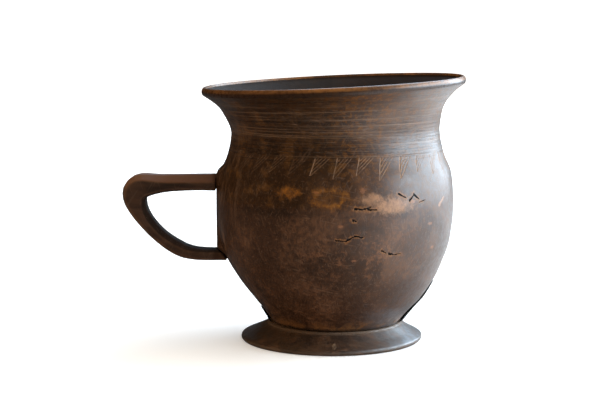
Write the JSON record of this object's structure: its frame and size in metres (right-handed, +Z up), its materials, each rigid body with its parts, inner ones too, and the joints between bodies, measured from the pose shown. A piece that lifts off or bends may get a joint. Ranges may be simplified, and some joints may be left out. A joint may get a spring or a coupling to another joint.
{
  "type": "wooden mug",
  "caption": "Footed, pot-bellied kuksa-style wooden mug with a flared lip, an incised neck and a carved loop handle wedged through the wall.",
  "frame": {"origin": "centre of the underside, on the bowl's axis", "axes": "+Z up along the bowl's axis; -X towards the handle; +Y across"},
  "size_m": [0.1563, 0.12, 0.1212],
  "materials": {
    "bowl_wood": "old dark wood, hand-worn, satin",
    "foot_wood": "old dark wood, waxed, half glossy",
    "handle_wood": "old dark wood, knife-cut facets, satin",
    "pale_wood": "bare end grain, matte",
    "pitch_black": "hardened black pitch, half glossy"
  },
  "bodies": {
    "root": {"bowl": "bowl_wood", "foot": "foot_wood", "handle": "handle_wood", "handle_wedge_upper": "pale_wood", "handle_wedge_lower": "pale_wood", "foot_peg_front": "pale_wood", "foot_peg_right": "pale_wood", "foot_peg_left": "pale_wood", "pitch_seal": "pitch_black"}
  },
  "joints": []
}
